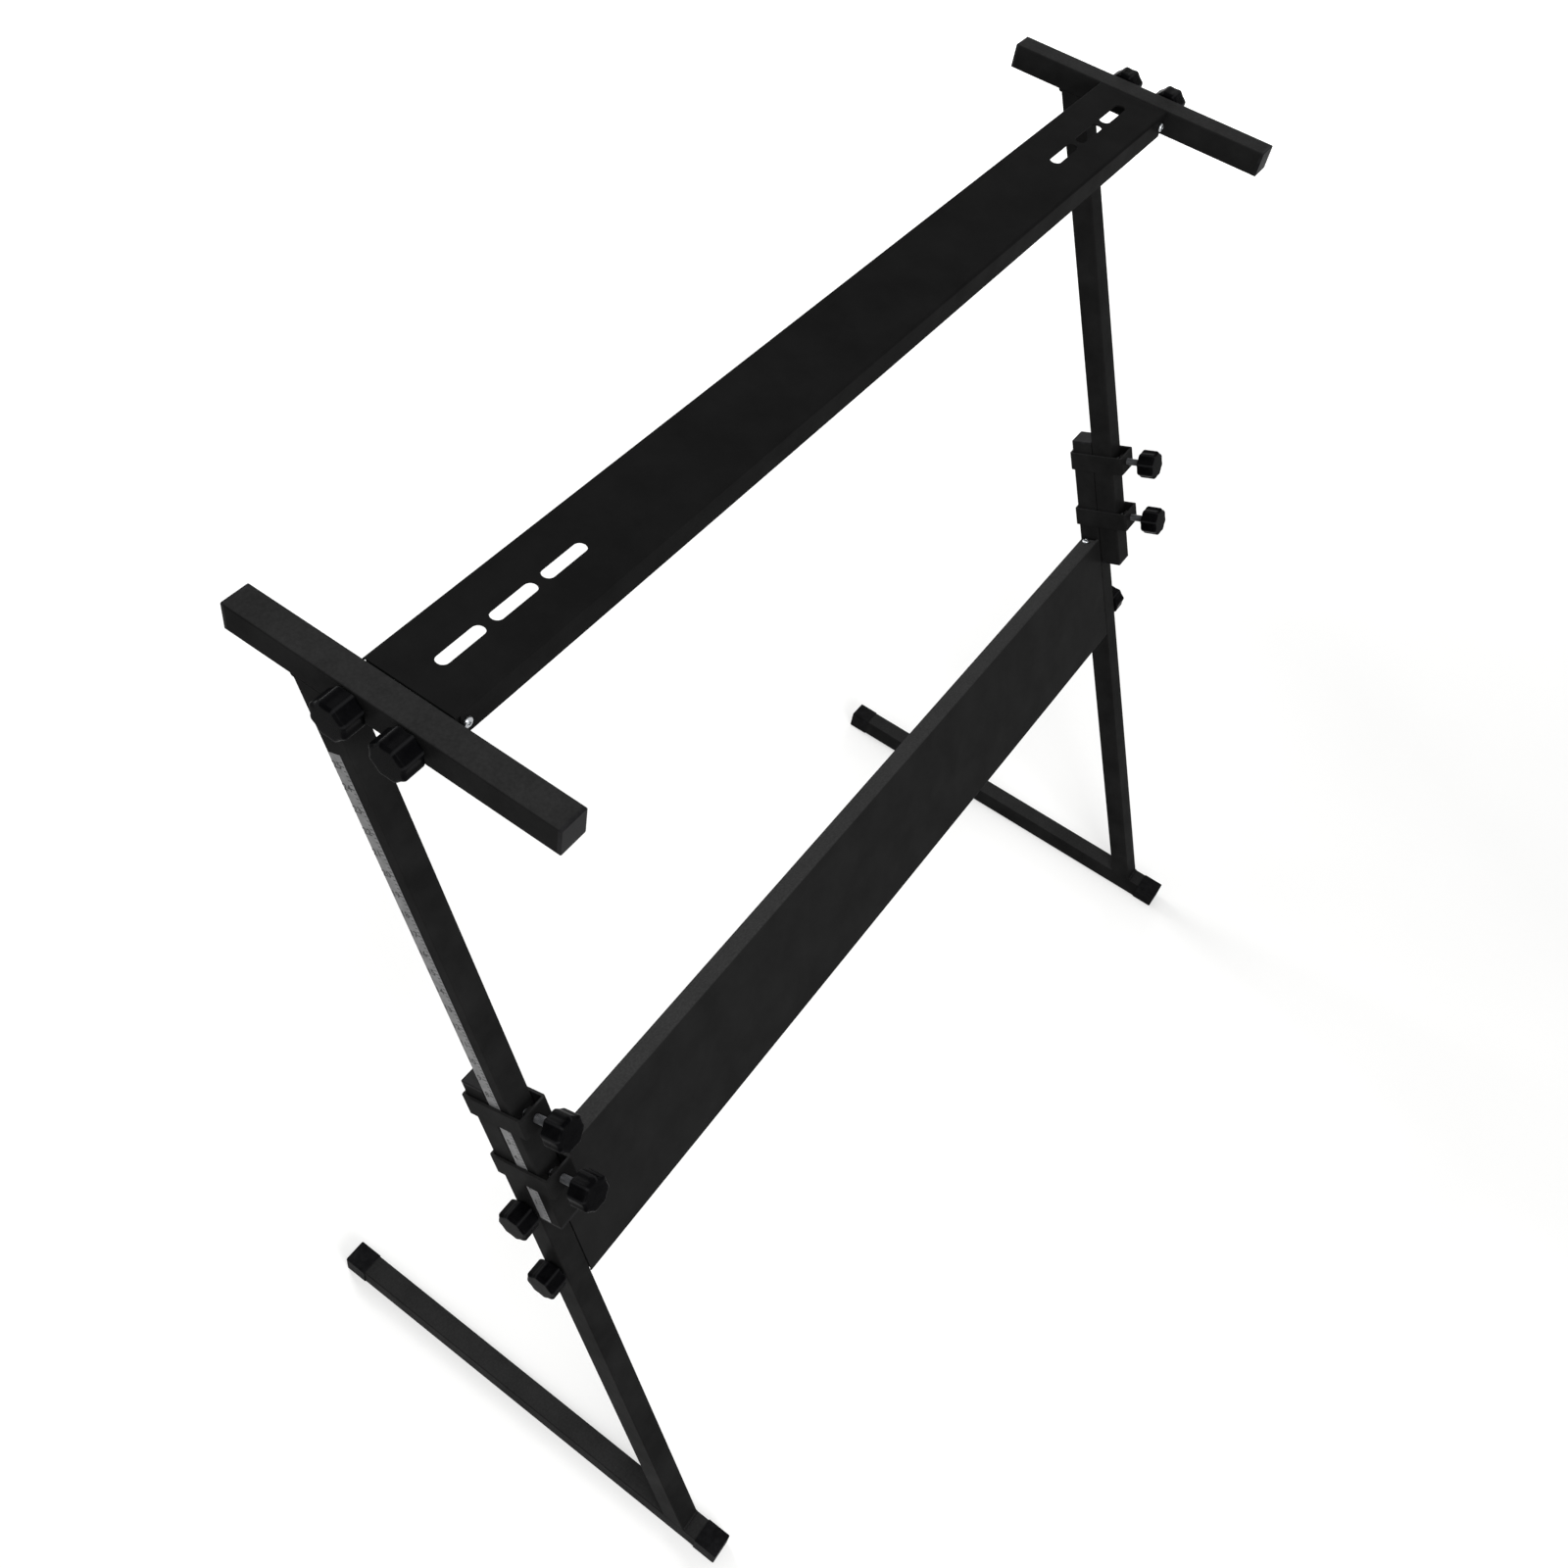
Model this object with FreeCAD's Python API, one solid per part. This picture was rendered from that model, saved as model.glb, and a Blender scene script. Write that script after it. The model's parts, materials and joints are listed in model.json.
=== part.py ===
import FreeCAD, Part
import math
import os

os.makedirs("parts", exist_ok=True)

# A keyboard stand of square steel tube. Two arms carry the keyboard, and a slotted board joins them.
# Each arm stands on an upper leg that slides along a leaning lower leg, inside two clamped collars.
# Millimetres. X runs along the board, Y from front to back, Z up from the floor.
# The origin is on the floor, in the middle of the stand's width and depth.

# Whole stand
WIDTH = 1115.0  # over the outer faces of the arms
HEIGHT = 1088.0  # floor to the top of the arms, as set
LEAN = 23.0  # degrees that the legs lean back from upright
ARM_LENGTH = 285.0
ARM_BEHIND_LEG = 61.0  # arm that reaches back past the upper leg
FOOT_LENGTH = 525.0  # over both caps
FOOT_BEFORE_LEG = 43.0  # foot that reaches forward past the lower leg

# Square tube, its plugs and its caps
TUBE = 25.0
TUBE_WALL = 1.5
TUBE_CORNER = 1.5
PLUG_HEAD = 3.0
PLUG_DEPTH = 14.0
PLUG_PLAY = 0.1
PLUG_EDGE = 0.8
CAP_WALL = 1.0
CAP_END = 3.0
CAP_LENGTH = 27.0
CAP_EDGE = 1.2

# Legs, measured along the lean from where the upper leg's front face would meet the floor
LEG_GAP = 0.6  # between the upper and the lower tube
UPPER_LEG_END = 584.0
LOWER_LEG_TOP = 752.0
STRIP_TOP = 1102.0
STRIP_WIDTH = 12.0
STRIP_THICK = 0.3

# Collars round each pair of tubes
COLLAR_HEIGHT = 22.0
COLLAR_SHEET = 2.5
COLLAR_PLAY = 1.0  # beside the tubes
COLLAR_REACH = 14.0  # front face of the collar before the upper tube
COLLAR_TOP = 737.0  # upper collar, along the leg
COLLAR_PITCH = 77.0

# Folded sheet of the board and the panel
SHEET = 1.5
FOLD_RADIUS = 2.5
SHEET_GAP = 0.8  # at each end of a sheet
FLANGE_RELIEF = 5.0  # flange that is left off at each end
BOARD_DEPTH = 78.5
BOARD_FLANGE = 25.0
BOARD_OFFSET = 3.5  # board's middle behind the arms' middle
PANEL_HEIGHT = 145.0
PANEL_FLANGE = 21.0
PANEL_TOP = 618.5  # along the leg
SLOT_LENGTH = 45.0
SLOT_WIDTH = 11.0
SLOT_PITCH = 53.0
SLOT_COUNT = 3
SLOT_INSET = 50.0  # arm to the middle of the first slot

# End brackets inside the sheets
BRACKET_SHEET = 2.5
BRACKET_BEND = 3.5
BRACKET_TAB = 20.0
BRACKET_ROOM = 2.5  # between the bracket's edge and the sheet's face

# Fasteners
STUD = 8.0
STUD_EDGE = 0.8
STUD_PLAY = 0.3  # round a stud in a plain hole
THREAD_PLAY = 0.1  # round a stud in a nut or a grip
STUD_TAIL = 3.0  # stud past its nut
STUD_TIP_GAP = 0.3  # clamp stud to the upper tube
NUT_FLATS = 13.0
NUT_HEIGHT = 6.5
SCREW = 5.0
SCREW_PLAY = 0.1
SCREW_LENGTH = 6.0
SCREW_HEAD = 8.5
SCREW_HEAD_HEIGHT = 3.0
SCREW_HEAD_ROUND = 1.4
SCREW_INSET = 11.0  # screw from the tube's inner face

# Knobs
GRIP = 33.0
GRIP_LENGTH = 20.0
GRIP_EDGE = 1.6
GRIP_HOLE = 12.0
FLUTES = 8
FLUTE_RADIUS = 10.0
FLUTE_DEPTH = 1.6
BOSS = 16.0
BOSS_HEIGHT = 2.0
KNOB_GAP = 0.3  # boss to the tube that it is tightened on
CLAMP_STANDOFF = 16.0  # boss before the collar
ARM_KNOB_PITCH = 50.0
PANEL_KNOB_PITCH = 87.0

OVERRUN = 20.0  # cuts run past the faces that they open
TOUCH = 1e-6  # coordinates this close are the same

# Places that follow from the sizes
SIN = math.sin(math.radians(LEAN))
COS = math.cos(math.radians(LEAN))
TAN = SIN / COS
SIDE = (WIDTH - TUBE) / 2
INNER = SIDE - TUBE / 2
OUTER = SIDE + TUBE / 2
FOOT_TOP = CAP_WALL + TUBE
ARM_MID_Z = HEIGHT - TUBE / 2
ARM_UNDER = HEIGHT - TUBE
LOWER_FRONT = TUBE + LEG_GAP
LOWER_MID = LOWER_FRONT + TUBE / 2
LEG_FROM_FOOT = FOOT_BEFORE_LEG - LOWER_FRONT / COS - FOOT_TOP * TAN
DEPTH = LEG_FROM_FOOT + TUBE / COS + ARM_UNDER * TAN + ARM_BEHIND_LEG
FOOT_FRONT = -DEPTH / 2
FOOT_BACK = FOOT_FRONT + FOOT_LENGTH
ARM_BACK = DEPTH / 2
ARM_FRONT = ARM_BACK - ARM_LENGTH
LEG_Y = FOOT_FRONT + LEG_FROM_FOOT
BOARD_Y = (ARM_FRONT + ARM_BACK) / 2 + BOARD_OFFSET
PANEL_MID = PANEL_TOP - PANEL_HEIGHT / 2
SHEET_LENGTH = 2 * (INNER - SHEET_GAP)
NUT_SEAT = INNER - BRACKET_SHEET

X_AXIS = FreeCAD.Vector(1, 0, 0)
Y_AXIS = FreeCAD.Vector(0, 1, 0)
UP = FreeCAD.Vector(0, 0, 1)
SIDES = (("left", -1), ("right", 1))
LEG = FreeCAD.Placement(FreeCAD.Vector(0, LEG_Y, 0), FreeCAD.Rotation(X_AXIS, -LEAN))

parts = {}


def vec(x, y, z):
    return FreeCAD.Vector(x, y, z)


def place(shape, at, outward=UP):
    """A copy of a shape that was built on the origin along +Z, set at a point and turned outward."""
    placed = shape.copy()
    turned = FreeCAD.Placement(at, FreeCAD.Rotation(UP, outward))
    placed.Placement = turned.multiply(placed.Placement)
    return placed


def in_leg(shape):
    """A copy of a shape moved from the leg's own frame, Y back and Z along the leg, to the stand's."""
    leaned = shape.copy()
    leaned.Placement = LEG.multiply(leaned.Placement)
    return leaned


def block(size_x, size_y, size_z, bottom=0):
    """A box in the middle of X and Y, standing on a height."""
    return Part.makeBox(size_x, size_y, size_z, vec(-size_x / 2, -size_y / 2, bottom))


def rounded(shape, radius, wanted):
    """Fillet the edges whose two end points pass a test."""
    chosen = []
    for edge in shape.Edges:
        ends = [vertex.Point for vertex in edge.Vertexes]
        if len(ends) == 2 and wanted(ends[0], ends[1]):
            chosen.append(edge)
    return shape.makeFillet(radius, chosen)


def same(first, second):
    return abs(first - second) < TOUCH


def bar(size, corner, length, bottom=0):
    """A square bar along Z with rounded corners."""
    square = block(size, size, length, bottom)
    return rounded(square, corner, lambda a, b: same(a.x, b.x) and same(a.y, b.y))


def tube(length):
    """A length of the square tube along Z."""
    bore = TUBE - 2 * TUBE_WALL
    return bar(TUBE, TUBE_CORNER, length).cut(block(bore, bore, length))


def soft_end(shape, radius, level):
    """Round the edges that lie in the plane of one end."""
    return rounded(shape, radius, lambda a, b: same(a.z, level) and same(b.z, level))


def plug():
    """A tube's end plug: a flush head above Z = 0 on a block that fits the bore."""
    bore = TUBE - 2 * TUBE_WALL - 2 * PLUG_PLAY
    head = soft_end(bar(TUBE, TUBE_CORNER, PLUG_HEAD), PLUG_EDGE, PLUG_HEAD)
    return head.fuse(block(bore, bore, PLUG_DEPTH, -PLUG_DEPTH)).removeSplitter()


def foot_cap():
    """A cap that slips over the end of a foot: open at Z = 0 and closed at its far end."""
    size = TUBE + 2 * CAP_WALL
    outside = soft_end(bar(size, TUBE_CORNER + CAP_WALL, CAP_LENGTH), CAP_EDGE, CAP_LENGTH)
    return outside.cut(bar(TUBE, TUBE_CORNER, CAP_LENGTH - CAP_END))


def channel(length, web, depth, sheet, bend):
    """A folded channel along X: the web's outer face on Z = 0, with a flange down each side."""
    inside_web = web - 2 * sheet
    outside = block(length, web, depth, -depth)
    inside = block(length, inside_web, depth, -depth - sheet)
    outside = rounded(outside, bend, lambda a, b: same(a.z, 0) and same(b.z, 0) and same(a.y, b.y))
    inside = rounded(
        inside,
        bend - sheet,
        lambda a, b: same(a.z, -sheet) and same(b.z, -sheet) and same(a.y, b.y),
    )
    return outside.cut(inside)


def folded_sheet(web, flange):
    """A sheet between the two sides, web up, with its flanges cut back from the ends below the fold."""
    sheet = channel(SHEET_LENGTH, web, flange, SHEET, FOLD_RADIUS)
    relief = block(2 * FLANGE_RELIEF, web, flange, -flange - FOLD_RADIUS)
    for sign in (-1, 1):
        sheet = sheet.cut(place(relief, vec(sign * SHEET_LENGTH / 2, 0, 0)))
    return sheet


def hole(diameter, reach, at, along):
    """A cutter for a round hole that reaches both ways from a point."""
    cutter = Part.makeCylinder(diameter / 2, 2 * reach, vec(0, 0, -reach))
    return place(cutter, at, along)


def tube_hole(at):
    """A cutter across a tube, along X, for a stud."""
    return hole(STUD + 2 * STUD_PLAY, TUBE, at, X_AXIS)


def slot():
    """A cutter for a round-ended slot along X."""
    straight = SLOT_LENGTH - SLOT_WIDTH
    cutter = block(straight, SLOT_WIDTH, 2 * OVERRUN, -OVERRUN)
    for sign in (-1, 1):
        end = Part.makeCylinder(SLOT_WIDTH / 2, 2 * OVERRUN, vec(sign * straight / 2, 0, -OVERRUN))
        cutter = cutter.fuse(end)
    return cutter


def nut():
    """A hexagon nut standing on Z = 0."""
    radius = NUT_FLATS / math.sqrt(3)
    corners = []
    for index in range(7):
        turn = math.pi * index / 3
        corners.append(vec(radius * math.cos(turn), radius * math.sin(turn), 0))
    hexagon = Part.Face(Part.makePolygon(corners)).extrude(vec(0, 0, NUT_HEIGHT))
    return hexagon.cut(Part.makeCylinder(STUD / 2 + THREAD_PLAY, NUT_HEIGHT))


def pan_screw():
    """A pan-head screw: the head stands on Z = 0 and the shank goes down."""
    head = Part.makeCylinder(SCREW_HEAD / 2, SCREW_HEAD_HEIGHT)
    rim = [edge for edge in head.Edges if same(edge.BoundBox.ZMin, SCREW_HEAD_HEIGHT)]
    head = head.makeFillet(SCREW_HEAD_ROUND, rim)
    return head.fuse(Part.makeCylinder(SCREW / 2, SCREW_LENGTH, vec(0, 0, -SCREW_LENGTH)))


def stud(length):
    """A plain stand-in for a threaded stud along Z, bevelled at both ends."""
    rod = Part.makeCylinder(STUD / 2, length)
    rims = [edge for edge in rod.Edges if edge.isClosed() and same(edge.BoundBox.ZLength, 0)]
    return rod.makeChamfer(STUD_EDGE, rims)


def grip():
    """A knob's fluted plastic grip: its boss stands on Z = 0, with a blind hole for the stud."""
    body = Part.makeCylinder(GRIP / 2, GRIP_LENGTH, vec(0, 0, BOSS_HEIGHT))
    rims = [edge for edge in body.Edges if edge.isClosed() and same(edge.BoundBox.ZLength, 0)]
    body = body.makeChamfer(GRIP_EDGE, rims)
    distance = GRIP / 2 + FLUTE_RADIUS - FLUTE_DEPTH
    for index in range(FLUTES):
        turn = 2 * math.pi * index / FLUTES
        centre = vec(distance * math.cos(turn), distance * math.sin(turn), 0)
        body = body.cut(Part.makeCylinder(FLUTE_RADIUS, BOSS_HEIGHT + GRIP_LENGTH, centre))
    body = body.fuse(Part.makeCylinder(BOSS / 2, BOSS_HEIGHT)).removeSplitter()
    return body.cut(Part.makeCylinder(STUD / 2 + THREAD_PLAY, BOSS_HEIGHT + GRIP_HOLE))


def arm_knob_places():
    """Front and rear knob axes on an arm, as names and Y."""
    return (("front", BOARD_Y - ARM_KNOB_PITCH / 2), ("rear", BOARD_Y + ARM_KNOB_PITCH / 2))


def panel_knob_places():
    """Upper and lower knob axes on a lower leg, as names and places along the leg."""
    return (("upper", PANEL_MID + PANEL_KNOB_PITCH / 2), ("lower", PANEL_MID - PANEL_KNOB_PITCH / 2))


def collar_places():
    """Upper and lower collars, as names and their lower edges along the leg."""
    upper = COLLAR_TOP - COLLAR_HEIGHT
    return (("upper", upper), ("lower", upper - COLLAR_PITCH))


def make_arms():
    tube_length = ARM_LENGTH - 2 * PLUG_HEAD
    front = ARM_FRONT + PLUG_HEAD
    back = ARM_BACK - PLUG_HEAD
    for name, sign in SIDES:
        arm = place(tube(tube_length), vec(sign * SIDE, front, ARM_MID_Z), Y_AXIS)
        for _, y in arm_knob_places():
            arm = arm.cut(tube_hole(vec(sign * SIDE, y, ARM_MID_Z)))
        ends = [
            place(plug(), vec(sign * SIDE, front, ARM_MID_Z), -Y_AXIS),
            place(plug(), vec(sign * SIDE, back, ARM_MID_Z), Y_AXIS),
        ]
        parts[name + "_arm"] = arm
        parts[name + "_arm_end_plugs"] = Part.makeCompound(ends)


def make_upper_legs():
    start = UPPER_LEG_END + PLUG_HEAD
    length = (ARM_UNDER + TUBE * SIN) / COS + OVERRUN - start
    above = block(WIDTH + 2 * TUBE, 2 * DEPTH, 2 * OVERRUN, ARM_UNDER)
    strip_start = start + STRIP_THICK
    for name, sign in SIDES:
        whole = in_leg(place(tube(length), vec(sign * SIDE, TUBE / 2, start)))
        parts[name + "_upper_leg"] = whole.cut(above)
        parts[name + "_upper_leg_plug"] = in_leg(place(plug(), vec(sign * SIDE, TUBE / 2, start), -UP))
        strip = block(STRIP_THICK, STRIP_WIDTH, STRIP_TOP - strip_start, strip_start)
        strip_y = TUBE - TUBE_CORNER - STRIP_WIDTH / 2
        parts[name + "_scale_strip"] = in_leg(place(strip, vec(sign * (OUTER + STRIP_THICK / 2), strip_y, 0)))


def make_lower_legs():
    start = FOOT_TOP / COS - OVERRUN
    end = LOWER_LEG_TOP - PLUG_HEAD
    below = block(WIDTH + 2 * TUBE, 2 * DEPTH, 2 * OVERRUN, FOOT_TOP - 2 * OVERRUN)
    for name, sign in SIDES:
        whole = place(tube(end - start), vec(sign * SIDE, LOWER_MID, start))
        for _, along in panel_knob_places():
            whole = whole.cut(tube_hole(vec(sign * SIDE, LOWER_MID, along)))
        parts[name + "_lower_leg"] = in_leg(whole).cut(below)
        parts[name + "_lower_leg_plug"] = in_leg(place(plug(), vec(sign * SIDE, LOWER_MID, end)))


def make_feet():
    tube_length = FOOT_LENGTH - 2 * CAP_END
    middle = CAP_WALL + TUBE / 2
    for name, sign in SIDES:
        start = vec(sign * SIDE, FOOT_FRONT + CAP_END, middle)
        parts[name + "_foot"] = place(tube(tube_length), start, Y_AXIS)
        front = vec(sign * SIDE, FOOT_FRONT + CAP_LENGTH, middle)
        back = vec(sign * SIDE, FOOT_BACK - CAP_LENGTH, middle)
        parts[name + "_front_foot_cap"] = place(foot_cap(), front, -Y_AXIS)
        parts[name + "_rear_foot_cap"] = place(foot_cap(), back, Y_AXIS)


def make_collars():
    inside_x = TUBE + 2 * COLLAR_PLAY
    front = -COLLAR_REACH
    back = LOWER_FRONT + TUBE + COLLAR_SHEET
    size_x = inside_x + 2 * COLLAR_SHEET
    size_y = back - front
    band = block(size_x, size_y, COLLAR_HEIGHT)
    band = rounded(band, COLLAR_SHEET, lambda a, b: same(a.x, b.x) and same(a.y, b.y))
    band = band.cut(block(inside_x, size_y - 2 * COLLAR_SHEET, COLLAR_HEIGHT))
    nuts = []
    for name, sign in SIDES:
        for level, bottom in collar_places():
            middle = bottom + COLLAR_HEIGHT / 2
            collar = place(band, vec(sign * SIDE, (front + back) / 2, bottom))
            stud_hole = hole(STUD + 2 * STUD_PLAY, 2 * COLLAR_SHEET, vec(sign * SIDE, front, middle), Y_AXIS)
            parts[name + "_" + level + "_collar"] = in_leg(collar.cut(stud_hole))
            nuts.append(in_leg(place(nut(), vec(sign * SIDE, front + COLLAR_SHEET, middle), Y_AXIS)))
    parts["collar_nuts"] = Part.makeCompound(nuts)


def screw_hole(at):
    """A cutter for a bracket screw through a flange and a tab."""
    return hole(SCREW + 2 * SCREW_PLAY, 2 * (SHEET + BRACKET_SHEET), at, Y_AXIS)


def end_bracket(web, height, pitch):
    """A U-shaped bracket: web facing +Z with stud holes along Y, tabs down, screw holes in the tabs."""
    bracket = channel(height, web, BRACKET_TAB, BRACKET_SHEET, BRACKET_BEND)
    for sign in (-1, 1):
        bracket = bracket.cut(hole(STUD + 2 * STUD_PLAY, 2 * BRACKET_SHEET, vec(0, sign * pitch / 2, 0), UP))
        bracket = bracket.cut(screw_hole(vec(0, sign * web / 2, -SCREW_INSET)))
    return bracket


def dress_sheet(name, sheet, web, pitch, axis_depth, settle):
    """Put the end brackets, nuts and screws into a sheet that lies web up, and settle the whole."""
    height = 2 * (axis_depth - SHEET - BRACKET_ROOM)
    bracket = end_bracket(web - 2 * SHEET, height, pitch)
    nuts = []
    screws = []
    for side, sign in SIDES:
        face = vec(sign, 0, 0)
        seated = place(bracket, vec(sign * INNER, 0, -axis_depth), face)
        parts[side + "_" + name + "_bracket"] = settle(seated)
        for way in (-1, 1):
            nut_at = vec(sign * NUT_SEAT, way * pitch / 2, -axis_depth)
            nuts.append(settle(place(nut(), nut_at, -face)))
            screw_at = vec(sign * (INNER - SCREW_INSET), way * web / 2, -axis_depth)
            screws.append(settle(place(pan_screw(), screw_at, way * Y_AXIS)))
            sheet = sheet.cut(screw_hole(screw_at))
    parts[name + "_nuts"] = Part.makeCompound(nuts)
    parts[name + "_screws"] = Part.makeCompound(screws)
    return settle(sheet)


def make_board():
    sheet = folded_sheet(BOARD_DEPTH, BOARD_FLANGE)
    for _, sign in SIDES:
        for index in range(SLOT_COUNT):
            x = sign * (INNER - SLOT_INSET - index * SLOT_PITCH)
            sheet = sheet.cut(place(slot(), vec(x, 0, 0)))

    def settle(shape):
        return place(shape, vec(0, BOARD_Y, HEIGHT))

    axis_depth = HEIGHT - ARM_MID_Z
    parts["top_board"] = dress_sheet("board", sheet, BOARD_DEPTH, ARM_KNOB_PITCH, axis_depth, settle)


def make_panel():
    sheet = folded_sheet(PANEL_HEIGHT, PANEL_FLANGE)

    def settle(shape):
        return in_leg(place(shape, vec(0, LOWER_FRONT, PANEL_MID), -Y_AXIS))

    axis_depth = LOWER_MID - LOWER_FRONT
    parts["panel"] = dress_sheet("panel", sheet, PANEL_HEIGHT, PANEL_KNOB_PITCH, axis_depth, settle)


def upright(shape):
    """A shape that stays as it is, where others are leaned with the leg."""
    return shape


def add_knob(name, tip, seat, outward, settle):
    """A knob whose boss stands at a seat and whose stud reaches in to a tip."""
    length = (seat - tip).dot(outward) + BOSS_HEIGHT + GRIP_HOLE
    parts[name + "_stud"] = settle(place(stud(length), tip, outward))
    parts[name + "_grip"] = settle(place(grip(), seat, outward))


def make_knobs():
    inner_tip = NUT_SEAT - NUT_HEIGHT - STUD_TAIL
    seat_x = OUTER + KNOB_GAP
    for name, sign in SIDES:
        face = vec(sign, 0, 0)
        for end, y in arm_knob_places():
            tip = vec(sign * inner_tip, y, ARM_MID_Z)
            seat = vec(sign * seat_x, y, ARM_MID_Z)
            add_knob(name + "_" + end + "_arm", tip, seat, face, upright)
        for level, along in panel_knob_places():
            tip = vec(sign * inner_tip, LOWER_MID, along)
            seat = vec(sign * seat_x, LOWER_MID, along)
            add_knob(name + "_" + level + "_panel", tip, seat, face, in_leg)
        for level, bottom in collar_places():
            middle = bottom + COLLAR_HEIGHT / 2
            tip = vec(sign * SIDE, -STUD_TIP_GAP, middle)
            seat = vec(sign * SIDE, -COLLAR_REACH - CLAMP_STANDOFF, middle)
            add_knob(name + "_" + level + "_clamp", tip, seat, -Y_AXIS, in_leg)


make_arms()
make_upper_legs()
make_lower_legs()
make_feet()
make_collars()
make_board()
make_panel()
make_knobs()

for node, shape in parts.items():
    shape.exportStep("parts/" + node + ".step")
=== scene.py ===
import json
import math

import bmesh
import bpy
from mathutils import Matrix, Vector


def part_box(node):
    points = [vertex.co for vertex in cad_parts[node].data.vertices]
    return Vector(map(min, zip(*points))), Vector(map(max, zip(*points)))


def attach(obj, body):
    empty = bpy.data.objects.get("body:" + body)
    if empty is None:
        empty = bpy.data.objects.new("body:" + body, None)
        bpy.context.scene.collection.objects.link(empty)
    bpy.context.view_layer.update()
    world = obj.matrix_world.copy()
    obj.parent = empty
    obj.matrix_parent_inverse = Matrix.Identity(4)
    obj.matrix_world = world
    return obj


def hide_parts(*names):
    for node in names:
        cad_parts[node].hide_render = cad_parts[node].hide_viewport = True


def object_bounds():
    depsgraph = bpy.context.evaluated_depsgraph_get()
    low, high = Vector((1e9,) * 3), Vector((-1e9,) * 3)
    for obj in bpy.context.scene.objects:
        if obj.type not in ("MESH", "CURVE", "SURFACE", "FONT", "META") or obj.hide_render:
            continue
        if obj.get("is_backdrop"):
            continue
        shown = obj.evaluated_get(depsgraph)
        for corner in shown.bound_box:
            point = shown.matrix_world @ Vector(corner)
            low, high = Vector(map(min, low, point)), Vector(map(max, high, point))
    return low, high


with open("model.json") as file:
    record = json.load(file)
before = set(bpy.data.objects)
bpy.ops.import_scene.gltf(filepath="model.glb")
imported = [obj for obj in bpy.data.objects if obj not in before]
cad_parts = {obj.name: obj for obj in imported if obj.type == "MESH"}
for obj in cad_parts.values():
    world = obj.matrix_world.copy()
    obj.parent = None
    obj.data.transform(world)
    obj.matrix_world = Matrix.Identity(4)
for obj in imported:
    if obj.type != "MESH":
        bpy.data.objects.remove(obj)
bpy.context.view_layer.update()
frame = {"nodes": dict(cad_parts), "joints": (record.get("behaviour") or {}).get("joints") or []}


# Feet: two lengths of 25 mm square steel tube that lie along the floor, one under each leg.
# Drawn mild steel, sawn to length, welded under the lower legs and powder-coated satin black.
SIDES = ("left", "right")
COAT_BLACK = "#161616"
COAT_HAZE = "#202020"  # where the powder lies thinner or has been rubbed
# pale film on faces that look up: partly dust, partly painted light from above
COAT_DUST_AND_TOP_LIGHT = "#585858"
PEEL = 0.0016  # width of the orange peel, drawn a little coarse so that it shows
PEEL_DEPTH = 0.0002
RUB = 0.045  # length of a hand-rubbed patch
RUB_EDGE = (0.35, 0.72)  # noise at which a patch starts and at which it is fully rubbed
RUB_POLISH = 0.08  # roughness that rubbing takes off
DUST = 0.0022  # width of a fleck of dust
DUST_EDGE = (0.3, 0.75)  # noise at which a fleck starts and at which it is thickest
DUST_THIN = 0.5  # film between the flecks against the film on them
DUST_AND_TOP_LIGHT_LEVEL = (0.6, 0.95)  # upward lean of a face at which the dust and painted top light start and at which they are full


def linear(code):
    """An sRGB hex colour as the linear colour that shaders take."""
    shares = [int(code[at:at + 2], 16) / 255 for at in (1, 3, 5)]
    return [s / 12.92 if s <= 0.04045 else ((s + 0.055) / 1.055) ** 2.4 for s in shares] + [1]


def add(tree, kind, feeds=None, **settings):
    """Adds one node with its settings; a feed is a constant or another node's output."""
    node = tree.nodes.new(kind)
    for name, value in settings.items():
        setattr(node, name, value)
    for key, feed in (feeds or {}).items():
        if isinstance(feed, bpy.types.NodeSocket):
            tree.links.new(feed, node.inputs[key])
        else:
            node.inputs[key].default_value = feed
    return node


def begin(name):
    """A new material: itself, its tree, its shader and the piece's own coordinates in metres."""
    made = bpy.data.materials.new(name)
    made.use_nodes = True
    tree = made.node_tree
    tree.nodes.clear()
    shader = add(tree, "ShaderNodeBsdfPrincipled")
    add(tree, "ShaderNodeOutputMaterial", {"Surface": shader.outputs[0]})
    return made, tree, shader, add(tree, "ShaderNodeTexCoord").outputs["Object"]


def finish_with(material, *nodes):
    """Gives CAD nodes one material in place of what they came with."""
    for node in nodes:
        slots = frame["nodes"][node].data.materials
        slots.clear()
        slots.append(material)


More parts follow.
